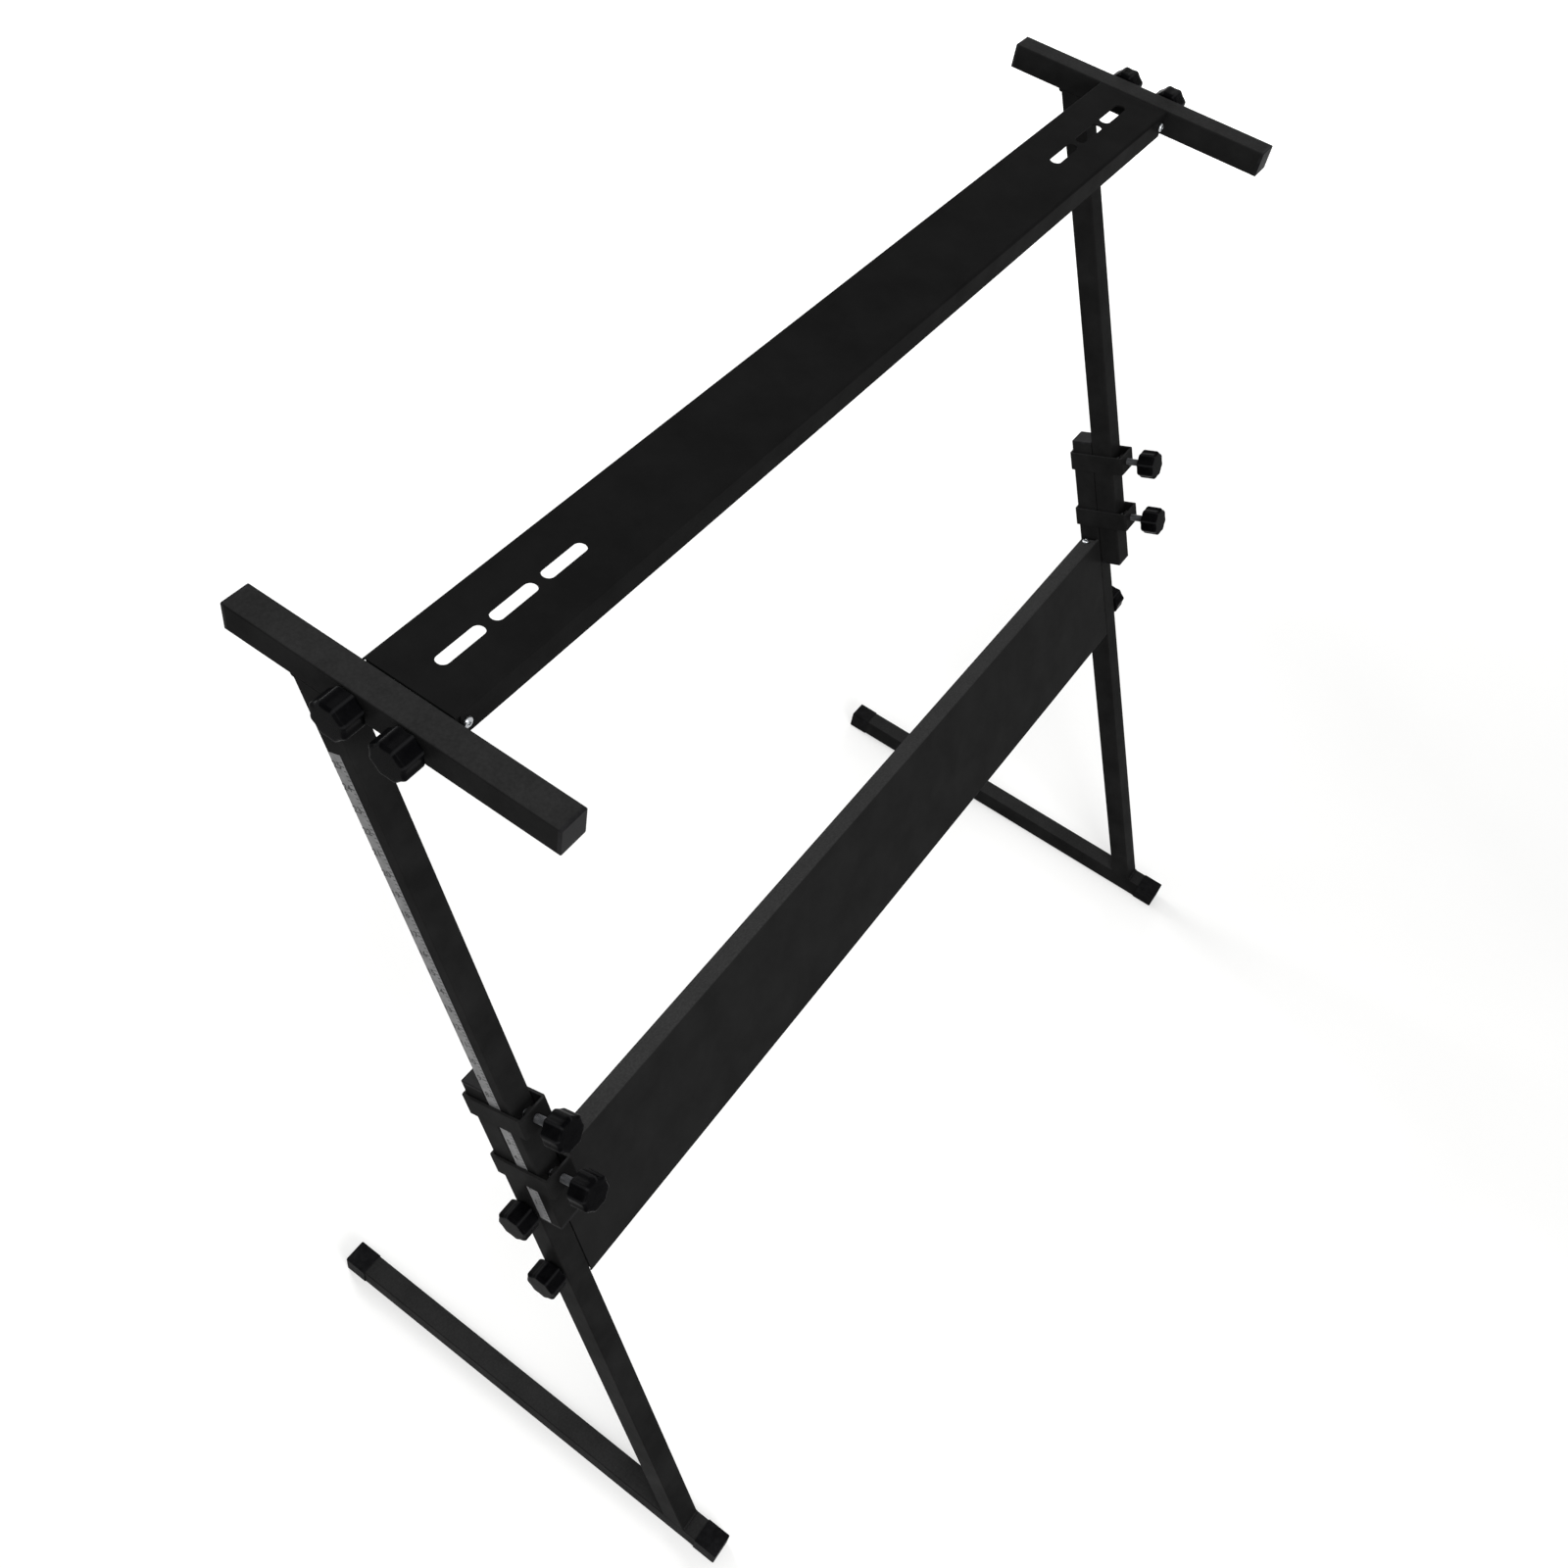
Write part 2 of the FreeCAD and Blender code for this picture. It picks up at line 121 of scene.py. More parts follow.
def powder_coat(name, black, haze, film, gloss, rough):
    """Powder-coated steel: a near-black skin with fine orange peel, rubbed patches that shine a
    little more, and a paler film on the faces that look up, partly dust and partly painted top light."""
    made, tree, shader, at = begin(name)
    peel = add(tree, "ShaderNodeTexNoise", {"Vector": at, "Scale": 1 / PEEL, "Detail": 2.0})
    rub = add(tree, "ShaderNodeTexNoise",
              {"Vector": at, "Scale": 1 / RUB, "Detail": 6.0, "Roughness": 0.62})
    patch = add(tree, "ShaderNodeMapRange",
                {"Value": rub.outputs[0], "From Min": RUB_EDGE[0], "From Max": RUB_EDGE[1]})
    skin = add(tree, "ShaderNodeMix", {0: patch.outputs[0], 6: linear(black), 7: linear(haze)},
               data_type="RGBA")
    normal = add(tree, "ShaderNodeNewGeometry").outputs["Normal"]
    facing = add(tree, "ShaderNodeSeparateXYZ", {0: normal})
    fleck = add(tree, "ShaderNodeTexNoise", {"Vector": at, "Scale": 1 / DUST, "Detail": 3.0})
    spread = add(tree, "ShaderNodeMapRange",
                 {"Value": fleck.outputs[0], "From Min": DUST_EDGE[0], "From Max": DUST_EDGE[1],
                  "To Min": film * DUST_THIN, "To Max": film})
    # Up-facing faces get the pale film: partly dust, partly painted light from above.
    facing_up = add(tree, "ShaderNodeMapRange",
                {"Value": facing.outputs["Z"], "From Min": DUST_AND_TOP_LIGHT_LEVEL[0], "From Max": DUST_AND_TOP_LIGHT_LEVEL[1]})
    dust_and_top_light = add(tree, "ShaderNodeMath", {0: spread.outputs[0], 1: facing_up.outputs[0]},
               operation="MULTIPLY")
    dusted_and_top_lit = add(tree, "ShaderNodeMix",
                {0: dust_and_top_light.outputs[0], 6: skin.outputs[2], 7: linear(COAT_DUST_AND_TOP_LIGHT)}, data_type="RGBA")
    shine = add(tree, "ShaderNodeMapRange",
                {"Value": patch.outputs[0], "To Min": rough, "To Max": rough - RUB_POLISH})
    bump = add(tree, "ShaderNodeBump",
               {"Height": peel.outputs[0], "Strength": 0.22, "Distance": PEEL_DEPTH})
    tree.links.new(dusted_and_top_lit.outputs[2], shader.inputs["Base Color"])
    tree.links.new(shine.outputs[0], shader.inputs["Roughness"])
    tree.links.new(bump.outputs[0], shader.inputs["Normal"])
    shader.inputs["Specular IOR Level"].default_value = gloss
    return made


tube_coat = powder_coat("satin_black_powder_coat", COAT_BLACK, COAT_HAZE,
                        film=0.14, gloss=0.006, rough=0.46)
finish_with(tube_coat, "left_foot", "right_foot")


# Foot caps: a plastic cap pressed over each end of the feet, so that only plastic meets the floor.
# Injection-moulded black polyethylene with a fine spark-eroded grain; held by its own grip.
MOULD_BLACK = "#0c0c0d"
MOULD_WORN = "#1d1d1e"
GRAIN = 0.0009  # spark-eroded grain, drawn coarse so that it shows
SCUFF = 1 / 90  # from one scuff to the next, about 11 mm
SCUFF_EDGE = (0.42, 0.8)  # noise at which a scuff starts and at which it is palest
SCUFF_DULL = 0.15  # roughness that a scuff adds


def moulded_plastic(name, black, worn, gloss, rough, grain_depth, rubbed=None):
    """Moulded plastic: an even dull skin with fine grain and paler scuffs; a painted highlight tone,
    where one is given, is laid where the piece marks its ridge tops, standing in for glints."""
    made, tree, shader, at = begin(name)
    grain = add(tree, "ShaderNodeTexVoronoi", {"Vector": at, "Scale": 1 / GRAIN})
    scuff = add(tree, "ShaderNodeTexNoise",
                {"Vector": at, "Scale": 1 / SCUFF, "Detail": 7.0, "Roughness": 0.7})
    share = add(tree, "ShaderNodeMapRange",
                {"Value": scuff.outputs[0], "From Min": SCUFF_EDGE[0], "From Max": SCUFF_EDGE[1]})
    skin = add(tree, "ShaderNodeMix", {0: share.outputs[0], 6: linear(black), 7: linear(worn)},
               data_type="RGBA")
    dull = add(tree, "ShaderNodeMapRange",
               {"Value": share.outputs[0], "To Min": rough, "To Max": rough + SCUFF_DULL})
    bump = add(tree, "ShaderNodeBump",
               {"Height": grain.outputs[0], "Strength": 0.3, "Distance": grain_depth})
    # Painted highlight: a paler tone on the marked ridge tops, standing in for the lamps' glints.
    if rubbed:
        glint_mark = add(tree, "ShaderNodeAttribute", attribute_name="rubbed")
        skin = add(tree, "ShaderNodeMix",
                   {0: glint_mark.outputs["Fac"], 6: skin.outputs[2], 7: linear(rubbed)}, data_type="RGBA")
    tree.links.new(skin.outputs[2], shader.inputs["Base Color"])
    tree.links.new(dull.outputs[0], shader.inputs["Roughness"])
    tree.links.new(bump.outputs[0], shader.inputs["Normal"])
    shader.inputs["Specular IOR Level"].default_value = gloss
    return made


cap_plastic = moulded_plastic("moulded_black_polyethylene", MOULD_BLACK, MOULD_WORN,
                              gloss=0.02, rough=0.5, grain_depth=0.00012)
for side in SIDES:
    finish_with(cap_plastic, side + "_front_foot_cap", side + "_rear_foot_cap")


# Lower legs: square tubes that lean back from the feet and carry the collars and the panel.
# Same tube as the feet, mitred at the bottom and welded on the foot front and back, then coated.
LEAN_AXIS = Vector(next(j["axis"] for j in frame["joints"] if j["name"] == "height_slide")).normalized()
LEG_TURN = Vector((0, 0, 1)).rotation_difference(LEAN_AXIS).to_matrix()
BEAD_PITCH = 0.0019  # one ripple of the weld to the next
BEAD_WIDTH = 0.0046
BEAD_OVERLAP = 2.1  # length of a ripple against the pitch
BEAD_UNEVEN = (0.86, 1.06)  # smallest and largest ripple against the usual one
BEAD_SEED = 7
BEAD_INSET = 0.002  # from the tube's corner to the end of a bead


def corners(node, turn=Matrix.Identity(3)):
    """Lowest and highest corner of a CAD node along turned axes, as a leaning piece's own box."""
    back = turn.transposed()
    points = [back @ v.co for v in frame["nodes"][node].data.vertices]
    return (Vector(min(p[axis] for p in points) for axis in range(3)),
            Vector(max(p[axis] for p in points) for axis in range(3)))


def open_tree(name, **inputs):
    """An empty node tree with named inputs after its base; gives the tree and what comes in."""
    tree = bpy.data.node_groups.new(name, "GeometryNodeTree")
    tree.interface.new_socket("Base", in_out="INPUT", socket_type="NodeSocketGeometry")
    for label, kind in inputs.items():
        tree.interface.new_socket(label, in_out="INPUT", socket_type="NodeSocket" + kind)
    tree.interface.new_socket("Shape", in_out="OUTPUT", socket_type="NodeSocketGeometry")
    return tree, add(tree, "NodeGroupInput").outputs


def close_tree(tree, shape, material):
    """Ends a tree with plain faces in one material."""
    plain = add(tree, "GeometryNodeRealizeInstances", {"Geometry": shape})
    dressed = add(tree, "GeometryNodeSetMaterial", {"Geometry": plain.outputs[0], "Material": material})
    add(tree, "NodeGroupOutput", {"Shape": dressed.outputs[0]})


def grow(name, tree, base, **sizes):
    """The plain piece that a node tree makes from a base mesh, with its inputs set first."""
    carrier = bpy.data.objects.new(name + "_base", base)
    bpy.context.scene.collection.objects.link(carrier)
    nodes = carrier.modifiers.new("nodes", "NODES")
    nodes.node_group = tree
    for item in tree.interface.items_tree:
        if item.in_out == "INPUT" and item.name in sizes:
            nodes[item.identifier] = sizes[item.name]
    bpy.context.view_layer.update()
    ready = carrier.evaluated_get(bpy.context.evaluated_depsgraph_get())
    made = bpy.data.objects.new(name, bpy.data.meshes.new_from_object(ready))
    bpy.data.objects.remove(carrier)
    bpy.data.meshes.remove(base)
    bpy.context.scene.collection.objects.link(made)
    return made


def line_mesh(name, lines, **marks):
    """A mesh of open lines, each a list of points, with a number at each point for every mark."""
    mesh = bpy.data.meshes.new(name)
    points = [p for line in lines for p in line]
    edges, start = [], 0
    for line in lines:
        edges += [(start + step, start + step + 1) for step in range(len(line) - 1)]
        start += len(line)
    mesh.from_pydata(points, edges, [])
    for mark, numbers in marks.items():
        mesh.attributes.new(mark, "FLOAT", "POINT").data.foreach_set("value", numbers)
    return mesh


weld_tree, given = open_tree("weld_bead", Pitch="Float", Width="Float")
weld_path = add(weld_tree, "GeometryNodeMeshToCurve", {"Mesh": given["Base"]})
weld_steps = add(weld_tree, "GeometryNodeResampleCurve",
                 {"Curve": weld_path.outputs[0], "Length": given["Pitch"]}, mode="LENGTH")
weld_drop = add(weld_tree, "GeometryNodeMeshIcoSphere", {"Radius": 0.5, "Subdivisions": 2})
weld_smooth = add(weld_tree, "GeometryNodeSetShadeSmooth", {0: weld_drop.outputs["Mesh"]})
weld_turn = add(weld_tree, "FunctionNodeAlignRotationToVector",
                {"Vector": add(weld_tree, "GeometryNodeInputTangent").outputs[0]}, axis="X")
weld_wave = add(weld_tree, "FunctionNodeRandomValue",
                {2: BEAD_UNEVEN[0], 3: BEAD_UNEVEN[1], "Seed": BEAD_SEED}, data_type="FLOAT")
weld_long = add(weld_tree, "ShaderNodeMath", {0: given["Pitch"], 1: BEAD_OVERLAP}, operation="MULTIPLY")
weld_size = add(weld_tree, "ShaderNodeCombineXYZ",
                {0: weld_long.outputs[0], 1: given["Width"], 2: given["Width"]})
weld_scale = add(weld_tree, "ShaderNodeVectorMath",
                 {0: weld_size.outputs[0], "Scale": weld_wave.outputs[1]}, operation="SCALE")
weld_run = add(weld_tree, "GeometryNodeInstanceOnPoints",
               {"Points": weld_steps.outputs[0], "Instance": weld_smooth.outputs[0],
                "Rotation": weld_turn.outputs[0], "Scale": weld_scale.outputs[0]})
close_tree(weld_tree, weld_run.outputs[0], tube_coat)

finish_with(tube_coat, "left_lower_leg", "right_lower_leg")
foot_joints = []
for side in SIDES:
    low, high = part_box(side + "_lower_leg")
    span = (high.x - low.x) / LEAN_AXIS.z  # the leaning tube's length on a level face
    for y in (low.y, low.y + span):
        foot_joints.append([(low.x + BEAD_INSET, y, low.z), (high.x - BEAD_INSET, y, low.z)])
foot_welds = grow("foot_welds", weld_tree, line_mesh("foot_joints", foot_joints),
                  Pitch=BEAD_PITCH, Width=BEAD_WIDTH)
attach(foot_welds, "lower_frame")


# Lower leg plugs: flush plastic plugs that close the upper ends of the lower legs.
# Injection-moulded black polyethylene, pushed into the tube's bore; a little greyer than the coat.
PLUG_BLACK = "#161617"
PLUG_WORN = "#29292a"
plug_plastic = moulded_plastic("moulded_grey_black_plugs", PLUG_BLACK, PLUG_WORN,
                               gloss=0.03, rough=0.45, grain_depth=0.00008)
finish_with(plug_plastic, "left_lower_leg_plug", "right_lower_leg_plug")


# Collars: two bands on each leg that hold the upper tube against the lower one.
# Folded from 2.5 mm strip steel, welded on the back of the lower leg and coated with the frame;
# a weld nut behind each front wall, coated with it, takes the clamp knob's stud.
COLLAR_BEAD_INSET = 0.004
finish_with(tube_coat, "collar_nuts")
collar_joints = []
for side in SIDES:
    leg_low, leg_high = corners(side + "_lower_leg", LEG_TURN)
    for level in ("upper", "lower"):
        collar = side + "_" + level + "_collar"
        finish_with(tube_coat, collar)
        low, high = corners(collar, LEG_TURN)
        ends = (leg_low.x + COLLAR_BEAD_INSET, leg_high.x - COLLAR_BEAD_INSET)
        for edge in (low.z, high.z):
            collar_joints.append([LEG_TURN @ Vector((x, leg_high.y, edge)) for x in ends])
collar_welds = grow("collar_welds", weld_tree, line_mesh("collar_joints", collar_joints),
                    Pitch=BEAD_PITCH, Width=BEAD_WIDTH)
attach(collar_welds, "lower_frame")


# Panel: the stretcher between the lower legs, a sheet with its long edges folded back.
# Folded from 1.5 mm sheet steel and powder-coated; brackets inside its ends take the knobs' studs,
# and cross-recess pan screws, bright in the upper edge and coated in the lower, hold it to them.
# The panel's coat tones are painted lighter than the tubes': a painted sheen standing in for the soft
# reflection on its face.
SHEET_BLACK_PAINTED_SHEEN = "#1c1c1c"
SHEET_HAZE_PAINTED_SHEEN = "#222222"
HEAD_SHARE = 3.0 / 8.5  # height of a screw's head against its width
SHANK_SHARE = 5.0 / 8.5  # width of its shank against the head's
TIP_SHARE = 0.8  # radius of the shank's tip against the shank's
TIP_FROM = 0.9  # along the shank, where it starts to narrow
SEAT_SHARE = 0.97  # radius of the head's seat against the head's
SEAT_RISE = 0.05  # height of the seat's bevelled edge against the head's radius
RIM_RISE = 0.4  # height of the head's straight rim against the head's
CROWN_RISE = 0.55  # height of the rounded edge above it
CROWN_STEPS = 6
CROWN_ROUND = 0.00182  # how far in the rounded edge reaches
CROWN_FLAT = (0.35, 0.99)  # radius and height at which the crown is nearly flat
SCREW_FACETS = 40
MERGE = 1e-6  # points nearer than this become one
RECESS_REACH = 0.0026  # cross recess from the middle of the head
RECESS_WIDTH = 0.0012
RECESS_DEPTH = 0.0016
RECESS_TAPER = 0.6  # foot of the recess against its mouth
TWIST_SEED = 3  # for the turn at which each screw came to rest
ZINC_PALE = "#c8cbce"
ZINC_DULL = "#9ea1a3"
ZINC_SPANGLE = 0.004  # width of a cloud in the plating
ZINC_CLOUD = (-0.08, 0.12)  # roughness of the clear and of the clouded plating, off its usual one
# Its thicker pale film on up-facing faces is partly dust, partly painted light from above.
panel_coat_painted_sheen = powder_coat("satin_black_powder_coat_on_panel_painted_sheen", SHEET_BLACK_PAINTED_SHEEN, SHEET_HAZE_PAINTED_SHEEN,
                         film=0.3, gloss=0.005, rough=0.4)
finish_with(panel_coat_painted_sheen, "panel", "left_panel_bracket", "right_panel_bracket")


def zinc_plate(name, pale, dull_tone, rough):
    """Zinc on steel: a pale mirror, clouded and duller in patches."""
    made, tree, shader, at = begin(name)
    cloud = add(tree, "ShaderNodeTexNoise", {"Vector": at, "Scale": 1 / ZINC_SPANGLE, "Detail": 5.0})
    tone = add(tree, "ShaderNodeMix", {0: cloud.outputs[0], 6: linear(pale), 7: linear(dull_tone)},
               data_type="RGBA")
    dull = add(tree, "ShaderNodeMapRange",
               {"Value": cloud.outputs[0], "To Min": rough + ZINC_CLOUD[0],
                "To Max": rough + ZINC_CLOUD[1]})
    tree.links.new(tone.outputs[2], shader.inputs["Base Color"])
    tree.links.new(dull.outputs[0], shader.inputs["Roughness"])
    shader.inputs["Metallic"].default_value = 1.0
    return made


bright_zinc = zinc_plate("bright_zinc_plate", ZINC_PALE, ZINC_DULL, rough=0.3)
finish_with(bright_zinc, "panel_nuts")


def pan_head(radius, height, shank_radius, shank):
    """One pan-head screw standing on its head's seat, with a cross recess sunk in the crown."""
    shape = bmesh.new()
    rim = height * RIM_RISE
    line = [(0, -shank), (shank_radius * TIP_SHARE, -shank), (shank_radius, -shank * TIP_FROM),
            (shank_radius, 0), (radius * SEAT_SHARE, 0), (radius, radius * SEAT_RISE), (radius, rim)]
    for step in range(1, CROWN_STEPS + 1):
        turn = step / CROWN_STEPS * math.pi / 2
        line.append((radius - CROWN_ROUND * (1 - math.cos(turn)),
                     rim + height * CROWN_RISE * math.sin(turn)))
    line += [(radius * CROWN_FLAT[0], height * CROWN_FLAT[1]), (0, height)]
    points = [shape.verts.new((r, 0, z)) for r, z in line]
    edges = [shape.edges.new(pair) for pair in zip(points, points[1:])]
    bmesh.ops.spin(shape, geom=points + edges, cent=(0, 0, 0), axis=(0, 0, 1),
                   angle=2 * math.pi, steps=SCREW_FACETS)
    bmesh.ops.remove_doubles(shape, verts=shape.verts, dist=MERGE)
    bmesh.ops.recalc_face_normals(shape, faces=shape.faces)
    for face in shape.faces:
        face.smooth = True
    solid = bpy.data.objects.new("pan_head", bpy.data.meshes.new("pan_head"))
    shape.to_mesh(solid.data)
    shape.clear()
    for x, y in ((RECESS_REACH, RECESS_WIDTH / 2), (RECESS_WIDTH / 2, RECESS_REACH)):
        block = bmesh.ops.create_cube(shape, size=2)["verts"]
        for v in block:
            share = 1.0 if v.co.z > 0 else RECESS_TAPER
            v.co = Vector((v.co.x * x * share, v.co.y * y * share, height + v.co.z * RECESS_DEPTH))
    recess = bpy.data.objects.new("recess", bpy.data.meshes.new("recess"))
    shape.to_mesh(recess.data)
    shape.free()
    for part in (solid, recess):
        bpy.context.scene.collection.objects.link(part)
    cut = solid.modifiers.new("recess", "BOOLEAN")
    cut.object = recess
    cut.operation = "DIFFERENCE"
    cut.solver = "EXACT"
    cut.use_self = True
    bpy.context.view_layer.update()
    ready = solid.evaluated_get(bpy.context.evaluated_depsgraph_get())
    mesh = bpy.data.meshes.new_from_object(ready)
    for part in (solid, recess):
        bpy.data.objects.remove(part)
    return mesh


screw_tree, given = open_tree("screws", Screw="Object")
screw_way = add(screw_tree, "GeometryNodeInputNamedAttribute", {"Name": "outward"},
                data_type="FLOAT_VECTOR")
screw_turn = add(screw_tree, "FunctionNodeAlignRotationToVector", {"Vector": screw_way.outputs[0]},
                 axis="Z")
screw_twist = add(screw_tree, "FunctionNodeRandomValue", {2: 0.0, 3: math.pi / 2, "Seed": TWIST_SEED},
                  data_type="FLOAT")
screw_spin = add(screw_tree, "FunctionNodeAxisAngleToRotation",
                 {"Axis": (0, 0, 1), "Angle": screw_twist.outputs[1]})
screw_set = add(screw_tree, "FunctionNodeRotateRotation",
                {0: screw_turn.outputs[0], 1: screw_spin.outputs[0]}, rotation_space="LOCAL")
screw_one = add(screw_tree, "GeometryNodeObjectInfo", {"Object": given["Screw"]})
screw_run = add(screw_tree, "GeometryNodeInstanceOnPoints",
                {"Points": given["Base"], "Instance": screw_one.outputs["Geometry"],
                 "Rotation": screw_set.outputs[0]})
screw_coated = add(screw_tree, "GeometryNodeInputNamedAttribute", {"Name": "coated"}, data_type="FLOAT")
screw_plain = add(screw_tree, "GeometryNodeRealizeInstances", {"Geometry": screw_run.outputs[0]})
screw_bright = add(screw_tree, "GeometryNodeSetMaterial",
                   {"Geometry": screw_plain.outputs[0], "Material": bright_zinc})
screw_black = add(screw_tree, "GeometryNodeSetMaterial",
                  {"Geometry": screw_bright.outputs[0], "Selection": screw_coated.outputs[0],
                   "Material": tube_coat})
add(screw_tree, "NodeGroupOutput", {"Shape": screw_black.outputs[0]})


def screws(name, node, body, turn, axis, shown):
    """Pan screws in place of a CAD node's, two at each end, whose heads look along one turned axis.
    Those on the shown side are bright; the others were coated with the frame."""
    back = turn.transposed()
    points = [back @ v.co for v in frame["nodes"][node].data.vertices]
    middle = (max(p[axis] for p in points) + min(p[axis] for p in points)) / 2
    seats, ways, coated = [], [], []
    for x_sign in (-1, 1):
        for sign in (-1, 1):
            own = [p for p in points if p.x * x_sign > 0 and (p[axis] - middle) * sign > 0]
            low = Vector(min(p[k] for p in own) for k in range(3))
            high = Vector(max(p[k] for p in own) for k in range(3))
            radius = (high.x - low.x) / 2
            head = (high.x - low.x) * HEAD_SHARE
            shank = high[axis] - low[axis] - head
            seat = (low + high) / 2
            seat[axis] = (high[axis] if sign > 0 else low[axis]) - sign * head
            way = Vector((0, 0, 0))
            way[axis] = sign
            seats.append(turn @ seat)
            ways.append(turn @ way)
            coated.append(0.0 if sign == shown else 1.0)
    one = bpy.data.objects.new("one_screw", pan_head(radius, head, radius * SHANK_SHARE, shank))
    bpy.context.scene.collection.objects.link(one)
    base = bpy.data.meshes.new(name)
    base.from_pydata(seats, [], [])
    base.attributes.new("outward", "FLOAT_VECTOR", "POINT").data.foreach_set(
        "vector", [number for way in ways for number in way])
    base.attributes.new("coated", "FLOAT", "POINT").data.foreach_set("value", coated)
    made = grow(name, screw_tree, base, Screw=one)
    bpy.data.objects.remove(one)
    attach(made, body)
    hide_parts(node)


screws("panel_screw_heads", "panel_screws", "lower_frame", LEG_TURN, axis=2, shown=1)


# Upper legs: square tubes that slide in the collars on the front of the lower legs.
# Same tube and coat; plugged at the bottom, mitred and welded under the arms at the top.
finish_with(tube_coat, "left_upper_leg", "right_upper_leg")
finish_with(plug_plastic, "left_upper_leg_plug", "right_upper_leg_plug")


# Scale strips: pale adhesive strips down the outer faces of the upper legs, to set both alike.
# Printed grey polyester film with plain ticks every 4 mm and a number at every fifth one.
FILM_GREY = "#79797a"
FILM_WORN = "#676768"
INK_BLACK = "#161617"
INK_WORN = "#303031"
WEAR = 0.00625  # from one rubbed patch of the print to the next
WEAR_EDGE = (0.4, 0.75)  # noise at which a patch starts and at which it is most worn
WEAR_DULL = 0.2  # roughness that wear adds
TICK_PITCH = 0.004
TICK_EVERY = 5
TICK_LENGTH = 0.0026
TICK_LONG = 0.0046
TICK_THICK = 0.0009
TICK_INSET = 0.0005  # from the strip's edge to the ticks
TICK_SPARE = 0.01  # of a pitch, so that rounding doesn't lose the last tick
INK_RISE = 0.00006
INK_MERGE = 1e-7  # points of a digit nearer than this become one
NUMBER_HEIGHT = 0.006
NUMBER_BOLD = 0.0002
NUMBER_ASIDE = 0.0022  # from the strip's middle to the middle of its numbers
DIGIT_SHARE = 0.7  # height of a digit against the font's size


def printed(name, pale, worn, rough):
    """Printed film, bare or inked: an even dull tone with rubbed patches."""
    made, tree, shader, at = begin(name)
    wear = add(tree, "ShaderNodeTexNoise",
               {"Vector": at, "Scale": 1 / WEAR, "Detail": 6.0, "Roughness": 0.65})
    share = add(tree, "ShaderNodeMapRange",
                {"Value": wear.outputs[0], "From Min": WEAR_EDGE[0], "From Max": WEAR_EDGE[1]})
    skin = add(tree, "ShaderNodeMix", {0: share.outputs[0], 6: linear(pale), 7: linear(worn)},
               data_type="RGBA")
    dull = add(tree, "ShaderNodeMapRange",
               {"Value": share.outputs[0], "To Min": rough, "To Max": rough + WEAR_DULL})
    tree.links.new(skin.outputs[2], shader.inputs["Base Color"])
    tree.links.new(dull.outputs[0], shader.inputs["Roughness"])
    return made


strip_film = printed("printed_grey_polyester_film", FILM_GREY, FILM_WORN, rough=0.5)
scale_ink = printed("black_screen_ink", INK_BLACK, INK_WORN, rough=0.6)
finish_with(strip_film, "left_scale_strip", "right_scale_strip")

tick_tree, given = open_tree("scale_ticks", Pitch="Float", Short="Float", Long="Float", Thick="Float",
                             Rise="Float", Every="Float")
tick_path = add(tick_tree, "GeometryNodeMeshToCurve", {"Mesh": given["Base"]})
tick_steps = add(tick_tree, "GeometryNodeResampleCurve",
                 {"Curve": tick_path.outputs[0], "Length": given["Pitch"]}, mode="LENGTH")
tick_index = add(tick_tree, "GeometryNodeInputIndex")
tick_count = add(tick_tree, "ShaderNodeMath", {0: tick_index.outputs[0], 1: given["Every"]},
                 operation="MODULO")
tick_minor = add(tick_tree, "ShaderNodeMath", {0: tick_count.outputs[0], 1: 0.5}, operation="GREATER_THAN")
tick_reach = add(tick_tree, "ShaderNodeMix",
                 {0: tick_minor.outputs[0], 2: given["Long"], 3: given["Short"]}, data_type="FLOAT")
tick_size = add(tick_tree, "ShaderNodeCombineXYZ",
                {0: given["Rise"], 1: tick_reach.outputs[0], 2: given["Thick"]})
tick_box = add(tick_tree, "GeometryNodeMeshCube")
tick_shift = add(tick_tree, "GeometryNodeTransform", {0: tick_box.outputs[0], "Translation": (0, 0.5, 0)})
tick_turn = add(tick_tree, "FunctionNodeAlignRotationToVector",
                {"Vector": add(tick_tree, "GeometryNodeInputTangent").outputs[0]}, axis="Z")
tick_run = add(tick_tree, "GeometryNodeInstanceOnPoints",
               {"Points": tick_steps.outputs[0], "Instance": tick_shift.outputs[0],
                "Rotation": tick_turn.outputs[0], "Scale": tick_size.outputs[0]})
close_tree(tick_tree, tick_run.outputs[0], scale_ink)

